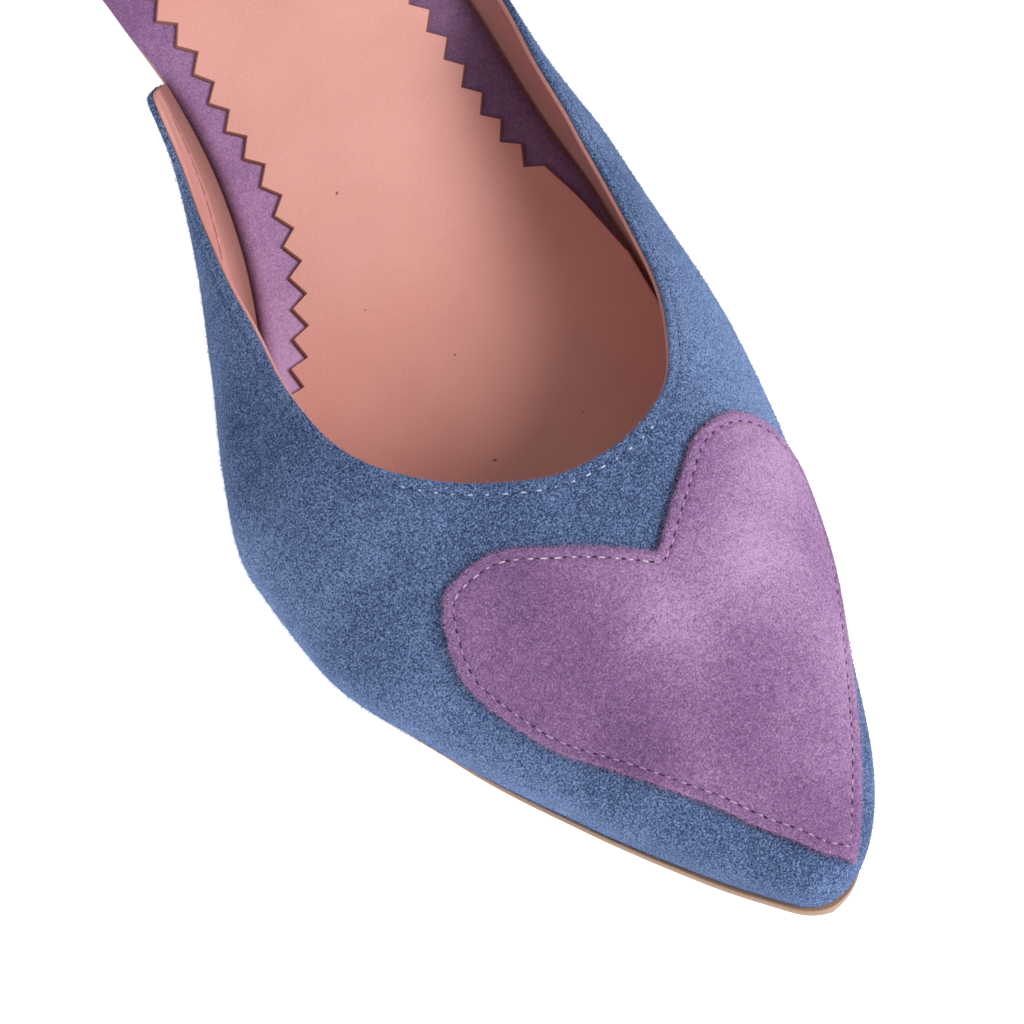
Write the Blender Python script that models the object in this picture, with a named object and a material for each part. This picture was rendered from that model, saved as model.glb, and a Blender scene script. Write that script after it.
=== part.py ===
"""Pointed slip-on shoe for the right foot: suede upper cut down at the sides, open back,
suede heart on the toe and a covered block heel.

Every curved piece is read from one form, the outside of the shoe over its last.
A place on it is given by two numbers: along, the share of the length from toe to heel, and around,
from -1 at the lateral seam with the sole, over 0 at the ridge, to 1 at the medial seam.
The toe points to -Y and the lateral side lies at -X.
"""

from collections import namedtuple

import bmesh
import bpy
import numpy as np

# Driving sizes, in metres
LENGTH = 0.248          # toe tip to heel back, measured along the floor
BALL_WIDTH = 0.076      # seam line of the sole, across the ball
INSTEP = 0.052          # ridge of the last over its bottom, at the instep
TOE_SPRING = 0.0045     # how far the toe lifts off the floor
HEEL_RISE = 0.051       # how much higher the heel seat lies than the ball
WALL = 0.0018           # suede and lining of the upper
SOLE = 0.0021           # leather outsole
SOLE_BEVEL = 0.0009     # its edge slants in under the shoe
SOLE_EDGE = 0.0006      # outsole standing out past the upper at the toe
BOARD = 0.0026          # insole board with its suede wrap
TOE_EASE = 0.0006       # room between the board's tip and the rounded toe
SOCK = 0.0008           # leather sock
SOCK_BORDER = 0.0060    # wrapped board that shows beside the sock
SOCK_EASE = 0.0006      # the sock's edge inside the board's edge, under the vamp
TOOTH_DEPTH = 0.0024    # pinked edge of the sock
TOOTH_PITCH = 0.0045
HEART = 0.0013          # suede of the heart
HEEL_BREAST = 0.206     # front face of the heel, from the toe tip
HEEL_TAPER = 0.22       # share by which the heel narrows towards the floor
HEEL_WAIST = 0.0016     # how far the heel's sides draw in between seat and floor
HEEL_INSET = 0.0015     # heel block inside the seat's edge
TOP_PIECE = 0.0045      # wearing piece under the heel
GAP = 0.0003            # between pieces that touch

# The form over the last, one row for each section.
# lateral, medial, lean, side_lat and side_med are shares of BALL_WIDTH, ridge of INSTEP,
# spring of TOE_SPRING, rise of HEEL_RISE and widest of the ridge's own height.
Section = namedtuple("Section", "along lateral medial spring rise ridge lean side_lat side_med widest full")
LAST = [
    Section(0.000, 0.000, 0.000, 1.00, 0.000, 0.000, 0.000, 0.000, 0.000, 0.42, 0.56),
    Section(0.006, 0.049, 0.068, 0.95, 0.000, 0.115, 0.002, 0.004, 0.006, 0.41, 0.56),
    Section(0.020, 0.087, 0.121, 0.84, 0.000, 0.180, 0.004, 0.007, 0.011, 0.40, 0.55),
    Section(0.060, 0.181, 0.203, 0.56, 0.000, 0.269, 0.013, 0.013, 0.018, 0.38, 0.55),
    Section(0.129, 0.319, 0.290, 0.20, 0.000, 0.404, 0.020, 0.026, 0.020, 0.36, 0.54),
    Section(0.210, 0.456, 0.376, 0.00, 0.000, 0.548, 0.033, 0.047, 0.022, 0.34, 0.52),
    Section(0.290, 0.548, 0.426, 0.00, 0.000, 0.673, 0.039, 0.074, 0.032, 0.33, 0.50),
    Section(0.363, 0.553, 0.455, 0.00, 0.000, 0.769, 0.039, 0.089, 0.035, 0.32, 0.48),
    Section(0.427, 0.492, 0.468, 0.00, 0.045, 0.846, 0.039, 0.095, 0.021, 0.29, 0.43),
    Section(0.492, 0.400, 0.466, 0.00, 0.149, 0.904, 0.039, 0.095, 0.014, 0.24, 0.36),
    Section(0.556, 0.324, 0.434, 0.00, 0.300, 0.942, 0.039, 0.087, 0.012, 0.19, 0.32),
    Section(0.625, 0.295, 0.412, 0.00, 0.480, 0.962, 0.039, 0.058, 0.012, 0.16, 0.33),
    Section(0.706, 0.314, 0.372, 0.00, 0.690, 0.981, 0.039, 0.039, 0.016, 0.16, 0.33),
    Section(0.827, 0.355, 0.355, 0.00, 0.900, 1.000, 0.026, 0.039, 0.026, 0.20, 0.35),
    Section(0.948, 0.303, 0.303, 0.00, 0.990, 1.000, 0.000, 0.039, 0.026, 0.20, 0.40),
    Section(1.000, 0.000, 0.000, 0.00, 1.000, 1.000, 0.000, 0.000, 0.000, 0.20, 0.40),
]
LOW = 0.22              # share of each side, seam to ridge, below its widest line
LOW_SWELL = 0.9         # how early the side climbs between the seam and the widest line

# Top edge of the upper, from the lateral wing's end over the throat to the medial wing's end
Place = namedtuple("Place", "along around")
TOPLINE = [
    Place(0.664, -1.000),
    Place(0.653, -0.880),
    Place(0.618, -0.785),
    Place(0.572, -0.703),
    Place(0.492, -0.560),
    Place(0.410, -0.440),
    Place(0.341, -0.323),
    Place(0.301, -0.192),
    Place(0.282, -0.035),
    Place(0.288, 0.103),
    Place(0.310, 0.250),
    Place(0.342, 0.335),
    Place(0.378, 0.398),
    Place(0.412, 0.430),
    Place(0.450, 0.462),
    Place(0.488, 0.488),
    Place(0.530, 0.535),
    Place(0.572, 0.620),
    Place(0.615, 0.735),
    Place(0.650, 0.870),
    Place(0.664, 1.000),
]

# Half outlines of the heart, each from the tip on the toe to the notch under the throat
HEART_LATERAL = [
    Place(0.009, 0.345),
    Place(0.018, 0.050),
    Place(0.036, -0.147),
    Place(0.077, -0.312),
    Place(0.113, -0.408),
    Place(0.165, -0.508),
    Place(0.206, -0.502),
    Place(0.240, -0.435),
    Place(0.262, -0.365),
    Place(0.266, -0.280),
    Place(0.247, -0.157),
    Place(0.216, -0.015),
]
HEART_MEDIAL = [
    Place(0.009, 0.345),
    Place(0.047, 0.413),
    Place(0.093, 0.510),
    Place(0.144, 0.610),
    Place(0.200, 0.668),
    Place(0.243, 0.650),
    Place(0.270, 0.520),
    Place(0.279, 0.377),
    Place(0.271, 0.238),
    Place(0.252, 0.145),
    Place(0.216, -0.015),
]
HEART_CENTRE = Place(0.150, 0.060)

# How far an edge stands inside or outside the seam line: share of the named size at each place along
Margin = namedtuple("Margin", "along share")
SOLE_LATERAL = [
    Margin(0.000, 1.0),
    Margin(0.040, 1.0),
    Margin(0.120, 0.6),
    Margin(0.300, 0.6),
    Margin(0.450, 0.0),
    Margin(0.560, -1.2),
    Margin(0.610, -2.2),
    Margin(0.655, -3.7),
    Margin(0.720, -1.8),
    Margin(1.000, -1.0),
]
SOLE_MEDIAL = [
    Margin(0.000, 1.0),
    Margin(0.008, 0.2),
    Margin(0.020, -0.6),
    Margin(0.060, -1.0),
    Margin(0.300, -0.6),
    Margin(0.450, -0.6),
    Margin(0.560, -1.4),
    Margin(0.610, -2.2),
    Margin(0.655, -3.7),
    Margin(0.720, -1.8),
    Margin(1.000, -1.0),
]
BOARD_MARGIN = [
    Margin(0.000, 1.0),
    Margin(0.655, 1.0),
    Margin(0.700, 0.4),
    Margin(0.760, 0.0),
    Margin(1.000, 0.0),
]
TOE_ROOM = [
    Margin(0.00, 1.0),
    Margin(0.06, 0.0),
    Margin(1.00, 0.0),
]

# How far the sock's edge leaves the wall, as a share of SOCK_BORDER
SOCK_LATERAL = [
    Margin(0.000, 0.00),
    Margin(0.355, 0.00),
    Margin(0.455, 0.12),
    Margin(0.510, 0.78),
    Margin(0.570, 1.00),
    Margin(0.635, 0.52),
    Margin(0.680, 0.62),
    Margin(1.000, 0.62),
]
SOCK_MEDIAL = [
    Margin(0.000, 0.00),
    Margin(0.450, 0.00),
    Margin(0.470, 0.16),
    Margin(0.490, 0.37),
    Margin(0.527, 0.75),
    Margin(0.545, 0.93),
    Margin(0.570, 1.03),
    Margin(0.620, 1.10),
    Margin(0.700, 1.00),
    Margin(1.000, 0.62),
]
PINKED_LATERAL = 0.455  # the pinked edge starts here, as a share of LENGTH
PINKED_MEDIAL = 0.521

# Mesh steps
UPPER_ROWS = 22
UPPER_COLUMNS = 48
TOE_CROWDING = 1.7      # the upper's rows lie closer together towards the toe
TOPLINE_PULL = 1.3      # and follow the top edge more and more towards it
HEART_RINGS = 8
HEART_STEPS = 32
PLATE_ROWS = 40
PLATE_COLUMNS = 5
HEEL_ROWS = 13
HEEL_BELTS = (0.25, 0.50, 0.75)
SOCK_PLAIN_STEPS = 20
EDGE_SAMPLES = 600
FORM_STEP = 0.002       # step of along and around that gives the form's directions
SAME_POINT = 0.000001   # closer than this, two points are one
SMOOTH_BELOW = 35       # degrees between faces that are still shaded as one surface

COLOURS = {
    "blue suede": (0.085, 0.130, 0.245, 0.95),
    "purple suede": (0.265, 0.150, 0.290, 0.95),
    "pink leather": (0.700, 0.400, 0.340, 0.50),
    "sole leather": (0.400, 0.250, 0.140, 0.60),
    "heel rubber": (0.020, 0.022, 0.026, 0.70),
}


def through(places, values, at):
    """A smooth curve through the rows of a table that never swings past a row."""
    places = np.asarray(places, float)
    values = np.asarray(values, float)
    at = np.clip(at, places[0], places[-1])
    step = np.diff(places)
    rate = np.diff(values) / step
    slope = np.concatenate([rate[:1], np.zeros(len(step) - 1), rate[-1:]])
    middle = (rate[:-1] * step[1:] + rate[1:] * step[:-1]) / (step[:-1] + step[1:])
    limit = 3 * np.minimum(abs(rate[:-1]), abs(rate[1:]))
    same_way = rate[:-1] * rate[1:] > 0
    slope[1:-1] = np.where(same_way, np.clip(middle, -limit, limit), 0)
    row = np.clip(np.searchsorted(places, at, side="right") - 1, 0, len(step) - 1)
    t = (at - places[row]) / step[row]
    from_left = values[row] * (1 + 2 * t) * (1 - t) ** 2 + step[row] * slope[row] * t * (1 - t) ** 2
    from_right = values[row + 1] * t * t * (3 - 2 * t) + step[row] * slope[row + 1] * t * t * (t - 1)
    return from_left + from_right


def rounded(along):
    """A measure of length that starts and ends slowly, so that toe and heel close round."""
    return np.arccos(np.clip(1 - 2 * np.asarray(along, float), -1, 1)) / np.pi


def column(name, along):
    """One column of the last's table, at any place along the shoe."""
    places = rounded([row.along for row in LAST])
    return through(places, [getattr(row, name) for row in LAST], rounded(along))


def underside(along):
    """Height of the outsole's underside over the floor."""
    return column("spring", along) * TOE_SPRING + column("rise", along) * HEEL_RISE


def seam_height(along):
    """Height of the seam line, where the upper stands on the outsole."""
    return underside(along) + SOLE + GAP


def form(along, around):
    """A place on the outside of the shoe: out from the seam to the widest line, then over the ridge."""
    along, around = np.broadcast_arrays(np.asarray(along, float), np.asarray(around, float))
    lateral = around < 0
    side = np.where(lateral, -1.0, 1.0)
    seam = np.where(lateral, column("lateral", along), column("medial", along)) * BALL_WIDTH
    bulge = np.where(lateral, column("side_lat", along), column("side_med", along)) * BALL_WIDTH
    widest = seam + bulge
    ridge = column("ridge", along) * INSTEP
    lean = side * column("lean", along) * BALL_WIDTH
    full = column("full", along)
    waist = column("widest", along) * ridge
    up = 1 - abs(around)
    a = np.clip(up / LOW, 0, 1)
    low_x = seam * (1 - a) ** 2 + widest * (1 - (1 - a) ** 2)
    low_z = waist * (LOW_SWELL * a * (1 - a) + a * a)
    b = np.clip((up - LOW) / (1 - LOW), 0, 1)
    ends = (1 - b) ** 3, 3 * (1 - b) ** 2 * b, 3 * (1 - b) * b * b, b ** 3
    top_x = widest * (ends[0] + ends[1]) + (lean + (widest - lean) * full) * ends[2] + lean * ends[3]
    top_z = waist * ends[0] + (waist + (ridge - waist) * full) * ends[1] + ridge * (ends[2] + ends[3])
    x = side * np.where(up < LOW, low_x, top_x)
    z = seam_height(along) + np.where(up < LOW, low_z, top_z)
    return np.stack([x, LENGTH * along, z], -1)


def outward(along, around):
    """The form's outward direction, square to its surface."""
    back = form(np.minimum(along + FORM_STEP, 1), around) - form(np.maximum(along - FORM_STEP, 0), around)
    over = form(along, np.minimum(around + FORM_STEP, 1)) - form(along, np.maximum(around - FORM_STEP, -1))
    square = np.cross(over, back)
    return square / np.linalg.norm(square, axis=-1, keepdims=True)


def offset(along, around, distance):
    """The form moved out or in by a distance."""
    return form(along, around) + outward(along, around) * distance


def toe_tip(distance):
    """The form's very tip, moved out or in along the floor."""
    return form(0.0, 0.0) + np.array([0.0, -distance, 0.0])


def solid(name, colour, first, second, closed=False, belts=()):
    """One closed piece between two skins with the same rows; a row of one point closes an end.

    first is the outer or upper skin and second the inner or lower one. closed joins each row into a
    ring. belts are loops of points between the two skins' edges, from the first to the second.
    """
    mesh = bmesh.new()

    def add(rows):
        return [[mesh.verts.new(point) for point in np.atleast_2d(row)] for row in rows]

    def strips(rows, flip):
        for near, far in zip(rows[:-1], rows[1:]):
            count = max(len(near), len(far))
            last = count if closed else count - 1
            for k in range(last):
                a, b = near[k % len(near)], near[(k + 1) % len(near)]
                c, d = far[(k + 1) % len(far)], far[k % len(far)]
                corners = list(dict.fromkeys([a, b, c, d]))
                mesh.faces.new(corners[::-1] if flip else corners)

    def rim(rows):
        if closed:
            return rows[-1]
        return [row[-1] for row in rows[:-1]] + rows[-1][::-1] + [row[0] for row in rows[-2:0:-1]] + (
            rows[0][:-1] if len(rows[0]) > 1 else [])

    upper_side = add(first)
    lower_side = add(second)
    strips(upper_side, False)
    strips(lower_side, True)
    loops = [rim(upper_side)] + [[mesh.verts.new(p) for p in belt] for belt in belts] + [rim(lower_side)]
    for above, below in zip(loops[:-1], loops[1:]):
        for k in range(len(above)):
            j = (k + 1) % len(above)
            mesh.faces.new([above[k], above[j], below[j], below[k]])
    bmesh.ops.triangulate(mesh, faces=mesh.faces)
    bmesh.ops.recalc_face_normals(mesh, faces=mesh.faces)
    data = bpy.data.meshes.new(name)
    mesh.to_mesh(data)
    mesh.free()
    data.shade_smooth()
    data.set_sharp_from_angle(angle=np.radians(SMOOTH_BELOW))
    data.materials.append(material(colour))
    piece = bpy.data.objects.new(name, data)
    bpy.context.scene.collection.objects.link(piece)
    return piece


def material(colour):
    """A plain finish of the given colour."""
    found = bpy.data.materials.get(colour)
    if found:
        return found
    made = bpy.data.materials.new(colour)
    made.use_nodes = True
    red, green, blue, rough = COLOURS[colour]
    shader = made.node_tree.nodes["Principled BSDF"]
    shader.inputs["Base Color"].default_value = (red, green, blue, 1)
    shader.inputs["Roughness"].default_value = rough
    shader.inputs["Metallic"].default_value = 0
    made.diffuse_color = (red, green, blue, 1)
    return made


def side_line(side, margin):
    """The seam line of one side in plan, moved out by margin(along), from toe to heel."""
    along = (1 - np.cos(np.linspace(0, np.pi, EDGE_SAMPLES))) / 2
    seam = column("lateral" if side < 0 else "medial", along) * BALL_WIDTH
    line = np.stack([side * seam, LENGTH * along], -1)
    run = np.gradient(line, axis=0)
    out = side * np.stack([run[:, 1], -run[:, 0]], -1)
    out[0] = (0, -1)
    out[-1] = (0, 1)
    out /= np.linalg.norm(out, axis=1, keepdims=True)
    return line + out * margin(along)[:, None]


def spaced(line, count):
    """Points at even steps of length along a line."""
    run = np.concatenate([[0], np.cumsum(np.linalg.norm(np.diff(line, axis=0), axis=1))])
    at = np.linspace(0, run[-1], count + 1)
    return np.stack([np.interp(at, run, line[:, k]) for k in (0, 1)], -1)


def plate_rows(left, right, height):
    """Rows of points across a plate; height(along) gives the skin's height."""
    rows = []
    for a, b in zip(left, right):
        if np.linalg.norm(a - b) < SAME_POINT:
            rows.append(np.array([[a[0], a[1], height(a[1] / LENGTH)]]))
            continue
        share = np.linspace(0, 1, PLATE_COLUMNS + 1)[:, None]
        flat = a * (1 - share) + b * share
        rows.append(np.column_stack([flat, height(flat[:, 1] / LENGTH)]))
    return rows


def margin_of(table, size):
    """A margin along the shoe: a named size times the table's share."""
    places, shares = zip(*table)
    return lambda along: through(places, shares, along) * size


def board_margin(along):
    """The insole board stays inside the upper and comes out flush behind the wings."""
    wall = margin_of(BOARD_MARGIN, WALL + GAP)(along)
    return -wall - margin_of(TOE_ROOM, TOE_EASE)(along)


def board_top(along):
    return seam_height(along) + BOARD


def traced(places, count):
    """A smooth line on the form through the places: its values of along and around."""
    along, around = np.array(places).T
    runs = np.linalg.norm(np.diff(form(along, around), axis=0), axis=1)
    run = np.concatenate([[0], np.cumsum(runs)]) / runs.sum()
    at = np.linspace(0, 1, count + 1)
    return through(run, along, at), through(run, around, at)


def make_upper():
    """The hollow upper: rows run from the toe's tip back to the top edge, columns from seam to seam."""
    top_along, top_around = traced(TOPLINE, UPPER_COLUMNS)
    seam_to_seam = np.linspace(-1, 1, UPPER_COLUMNS + 1)
    outer = [toe_tip(0)]
    inner = [toe_tip(-WALL)]
    for k in range(1, UPPER_ROWS + 1):
        share = k / UPPER_ROWS
        along = top_along * share ** TOE_CROWDING
        pull = share ** TOPLINE_PULL
        around = seam_to_seam * (1 - pull) + top_around * pull
        outer.append(form(along, around))
        inner.append(offset(along, around, -WALL))
    return solid("upper", "blue suede", outer, inner)


def make_heart():
    """The heart, cut between two larger forms of the upper."""
    halves = [np.stack(traced(half, HEART_STEPS), -1) for half in (HEART_LATERAL, HEART_MEDIAL)]
    edge = np.concatenate([halves[0][:-1], halves[1][:0:-1]])
    centre = np.array(HEART_CENTRE)
    rings = [centre + (edge - centre) * k / HEART_RINGS for k in range(1, HEART_RINGS + 1)]
    skins = []
    for lift in (GAP + HEART, GAP):
        middle = offset(centre[0], centre[1], lift)
        skins.append([middle] + [offset(ring[:, 0], ring[:, 1], lift) for ring in rings])
    return solid("heart", "purple suede", skins[0], skins[1], closed=True)


def make_outsole():
    """The leather outsole, from the toe to the heel's back."""
    margins = {-1: margin_of(SOLE_LATERAL, SOLE_EDGE), 1: margin_of(SOLE_MEDIAL, SOLE_EDGE)}

    def sides(bevel):
        return [spaced(side_line(side, lambda along: margin(along) - bevel), PLATE_ROWS)
                for side, margin in margins.items()]

    top = plate_rows(*sides(0), lambda along: underside(along) + SOLE)
    bottom = plate_rows(*sides(SOLE_BEVEL), underside)
    return solid("outsole", "sole leather", top, bottom)


def make_insole():
    """The wrapped insole board."""
    sides = [spaced(side_line(side, board_margin), PLATE_ROWS) for side in (-1, 1)]
    top = plate_rows(*sides, board_top)
    bottom = plate_rows(*sides, seam_height)
    return solid("insole", "purple suede", top, bottom)


def sock_line(side):
    """One edge of the sock in plan, before it is pinked: its plain stretch and its pinked one."""
    border = margin_of(SOCK_LATERAL if side < 0 else SOCK_MEDIAL, SOCK_BORDER - SOCK_EASE)
    line = side_line(side, lambda along: board_margin(along) - SOCK_EASE - border(along))
    start = PINKED_LATERAL if side < 0 else PINKED_MEDIAL
    first = np.searchsorted(line[:, 1], start * LENGTH)
    return line[:first + 1], line[first:]


def tooth_points(side):
    """Points along one pinked edge, two for each tooth."""
    length = np.linalg.norm(np.diff(sock_line(side)[1], axis=0), axis=1).sum()
    return 2 * round(length / TOOTH_PITCH)


def sock_side(side):
    """One edge of the sock in plan: under the vamp it follows the wall, then it sweeps in and is pinked."""
    plain, pinked = sock_line(side)
    points = tooth_points(side)
    both = max(tooth_points(-1), tooth_points(1)) + SOCK_PLAIN_STEPS
    plain = spaced(plain, both - points)
    pinked = spaced(pinked, points)
    run = np.gradient(pinked, axis=0)
    out = side * np.stack([run[:, 1], -run[:, 0]], -1)
    out /= np.linalg.norm(out, axis=1, keepdims=True)
    out[-1] = (0, 1)
    root = (np.arange(points + 1) % 2)[:, None]
    return np.concatenate([plain[:-1], pinked - out * TOOTH_DEPTH * root])


def make_sock():
    """The leather sock."""
    sides = [sock_side(side) for side in (-1, 1)]
    top = plate_rows(*sides, lambda along: board_top(along) + GAP + SOCK)
    bottom = plate_rows(*sides, lambda along: board_top(along) + GAP)
    return solid("sock", "pink leather", top, bottom)


def heel_sides(depth):
    """Both edges of the heel in plan, from breast to back; depth is 0 at the seat and 1 at the floor."""
    sides = []
    for side in (-1, 1):
        line = side_line(side, lambda along: np.full(along.shape, -HEEL_INSET))
        first = np.searchsorted(line[:, 1], HEEL_BREAST)
        sides.append(spaced(line[first:], HEEL_ROWS))
    middle = np.array([0, (HEEL_BREAST + LENGTH) / 2])
    draw_in = 1 - HEEL_TAPER * depth - 4 * depth * (1 - depth) * HEEL_WAIST / (BALL_WIDTH / 2)
    return [middle + (side - middle) * draw_in for side in sides]


def heel_seat(along):
    """The seat of the heel block, under the outsole."""
    return underside(along) - GAP


def make_heel():
    """The covered heel block."""
    lowest = TOP_PIECE + GAP
    top = plate_rows(*heel_sides(0), heel_seat)
    bottom = plate_rows(*heel_sides(1), lambda along: np.full(along.shape, lowest))
    belts = []
    for depth in HEEL_BELTS:
        rows = plate_rows(*heel_sides(depth), heel_seat)
        for row, seat in zip(rows, top):
            row[:, 2] = seat[:, 2] * (1 - depth) + lowest * depth
        belt = [row[-1] for row in rows[:-1]] + list(rows[-1][::-1]) + [row[0] for row in rows[-2:0:-1]]
        belts.append(belt + list(rows[0][:-1]))
    return solid("heel", "blue suede", top, bottom, belts=belts)


def make_top_piece():
    """The wearing piece under the heel, flat on the floor."""
    top = plate_rows(*heel_sides(1), lambda along: np.full(along.shape, TOP_PIECE))
    bottom = plate_rows(*heel_sides(1), lambda along: np.zeros(along.shape))
    return solid("top_piece", "heel rubber", top, bottom)


def centre_on_floor(pieces):
    """Moves the shoe so that the middle of its box, at the floor, is the origin."""
    points = np.concatenate([[tuple(v.co) for v in piece.data.vertices] for piece in pieces])
    middle = (points.min(axis=0) + points.max(axis=0)) / 2
    for piece in pieces:
        piece.location = (-middle[0], -middle[1], 0)


def main():
    for item in list(bpy.data.objects):
        bpy.data.objects.remove(item, do_unlink=True)
    pieces = [make_outsole(), make_upper(), make_insole(), make_sock(), make_heart(), make_heel(),
              make_top_piece()]
    centre_on_floor(pieces)
    bpy.context.view_layer.update()


main()
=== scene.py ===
# %% [markdown]
# This file dresses a slip-on shoe for the right foot: blue suede over a pointed last, cut down at the
# sides and open at the back, with a purple suede heart sewn on the toe and a pink leather sock inside.
# The solids of the shoe already exist and stay where they are. They are loaded first, and each piece
# made below stands for one of them, finer and with its real finish.

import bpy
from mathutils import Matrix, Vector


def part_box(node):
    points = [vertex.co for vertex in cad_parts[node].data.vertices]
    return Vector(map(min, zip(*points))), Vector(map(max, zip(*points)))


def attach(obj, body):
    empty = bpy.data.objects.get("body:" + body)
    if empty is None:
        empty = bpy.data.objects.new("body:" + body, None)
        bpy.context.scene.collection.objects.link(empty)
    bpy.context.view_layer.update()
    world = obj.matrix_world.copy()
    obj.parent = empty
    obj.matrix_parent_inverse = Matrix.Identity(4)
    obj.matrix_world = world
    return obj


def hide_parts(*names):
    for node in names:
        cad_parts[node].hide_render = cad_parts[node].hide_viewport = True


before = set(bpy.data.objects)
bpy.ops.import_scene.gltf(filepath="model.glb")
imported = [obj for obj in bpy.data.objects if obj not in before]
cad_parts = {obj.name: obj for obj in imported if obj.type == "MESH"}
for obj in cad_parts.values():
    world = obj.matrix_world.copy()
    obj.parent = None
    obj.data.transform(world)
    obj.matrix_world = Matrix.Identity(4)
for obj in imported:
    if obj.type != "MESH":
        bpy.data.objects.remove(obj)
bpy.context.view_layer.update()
print("nodes:", sorted(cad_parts))

# %% Tools of the workshop
from collections import namedtuple

import bmesh
import bpy
import numpy as np
from mathutils import Vector
from mathutils.kdtree import KDTree

# %% [markdown]
# A shoe takes its shape from a last, a solid foot-like block. Here the last is a formula: sections from
# toe to heel are written in a short table, as shares of a few real sizes, and smooth curves run through
# them. A place on the shoe is then two numbers: along, from toe to heel, and around, from the lateral
# seam over the ridge to the medial seam. Sculpting the shape by hand would also work, but with a formula
# the suede, its lining, the heart and every stitch find the same surface.

# %% The shoe's sizes, in metres
LENGTH = 0.248
BALL_WIDTH = 0.076
INSTEP = 0.052
TOE_SPRING = 0.0045
HEEL_RISE = 0.051
WALL = 0.0018
SOLE = 0.0021
SOLE_BEVEL = 0.0009
SOLE_EDGE = 0.0006
BOARD = 0.0026
TOE_EASE = 0.0006
SOCK = 0.0008
SOCK_BORDER = 0.0060
SOCK_EASE = 0.0006
TOOTH_DEPTH = 0.0024
TOOTH_PITCH = 0.0045
HEART = 0.0013
HEEL_BREAST = 0.206
HEEL_TAPER = 0.22
HEEL_WAIST = 0.0016
HEEL_INSET = 0.0015
TOP_PIECE = 0.0045
GAP = 0.0003
LOW = 0.22
LOW_SWELL = 0.9

# %% The sections of the last
Section = namedtuple("Section", "along lateral medial spring rise ridge lean side_lat side_med widest full")
LAST = [
    Section(0.000, 0.000, 0.000, 1.00, 0.000, 0.000, 0.000, 0.000, 0.000, 0.42, 0.56),
    Section(0.006, 0.049, 0.068, 0.95, 0.000, 0.115, 0.002, 0.004, 0.006, 0.41, 0.56),
    Section(0.020, 0.087, 0.121, 0.84, 0.000, 0.180, 0.004, 0.007, 0.011, 0.40, 0.55),
    Section(0.060, 0.181, 0.203, 0.56, 0.000, 0.269, 0.013, 0.013, 0.018, 0.38, 0.55),
    Section(0.129, 0.319, 0.290, 0.20, 0.000, 0.404, 0.020, 0.026, 0.020, 0.36, 0.54),
    Section(0.210, 0.456, 0.376, 0.00, 0.000, 0.548, 0.033, 0.047, 0.022, 0.34, 0.52),
    Section(0.290, 0.548, 0.426, 0.00, 0.000, 0.673, 0.039, 0.074, 0.032, 0.33, 0.50),
    Section(0.363, 0.553, 0.455, 0.00, 0.000, 0.769, 0.039, 0.089, 0.035, 0.32, 0.48),
    Section(0.427, 0.492, 0.468, 0.00, 0.045, 0.846, 0.039, 0.095, 0.021, 0.29, 0.43),
    Section(0.492, 0.400, 0.466, 0.00, 0.149, 0.904, 0.039, 0.095, 0.014, 0.24, 0.36),
    Section(0.556, 0.324, 0.434, 0.00, 0.300, 0.942, 0.039, 0.087, 0.012, 0.19, 0.32),
    Section(0.625, 0.295, 0.412, 0.00, 0.480, 0.962, 0.039, 0.058, 0.012, 0.16, 0.33),
    Section(0.706, 0.314, 0.372, 0.00, 0.690, 0.981, 0.039, 0.039, 0.016, 0.16, 0.33),
    Section(0.827, 0.355, 0.355, 0.00, 0.900, 1.000, 0.026, 0.039, 0.026, 0.20, 0.35),
    Section(0.948, 0.303, 0.303, 0.00, 0.990, 1.000, 0.000, 0.039, 0.026, 0.20, 0.40),
    Section(1.000, 0.000, 0.000, 0.00, 1.000, 1.000, 0.000, 0.000, 0.000, 0.20, 0.40),
]


# %% Smooth curves through a table
def through(places, values, at):
    """A smooth curve through the rows of a table that never swings past a row."""
    places = np.asarray(places, float)
    values = np.asarray(values, float)
    at = np.clip(at, places[0], places[-1])
    step = np.diff(places)
    rate = np.diff(values) / step
    slope = np.concatenate([rate[:1], np.zeros(len(step) - 1), rate[-1:]])
    middle = (rate[:-1] * step[1:] + rate[1:] * step[:-1]) / (step[:-1] + step[1:])
    limit = 3 * np.minimum(abs(rate[:-1]), abs(rate[1:]))
    slope[1:-1] = np.where(rate[:-1] * rate[1:] > 0, np.clip(middle, -limit, limit), 0)
    row = np.clip(np.searchsorted(places, at, side="right") - 1, 0, len(step) - 1)
    t = (at - places[row]) / step[row]
    from_left = values[row] * (1 + 2 * t) * (1 - t) ** 2 + step[row] * slope[row] * t * (1 - t) ** 2
    from_right = values[row + 1] * t * t * (3 - 2 * t) + step[row] * slope[row + 1] * t * t * (t - 1)
    return from_left + from_right


def rounded(along):
    """A measure of length that starts and ends slowly, so that toe and heel close round."""
    return np.arccos(np.clip(1 - 2 * np.asarray(along, float), -1, 1)) / np.pi


def column(name, along):
    """One column of the last's table, at any place along the shoe."""
    places = rounded([row.along for row in LAST])
    return through(places, [getattr(row, name) for row in LAST], rounded(along))


def underside(along):
    """Height of the outsole's underside over the floor."""
    return column("spring", along) * TOE_SPRING + column("rise", along) * HEEL_RISE


def seam_height(along):
    """Height of the seam line, where the upper stands on the outsole."""
    return underside(along) + SOLE + GAP


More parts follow.
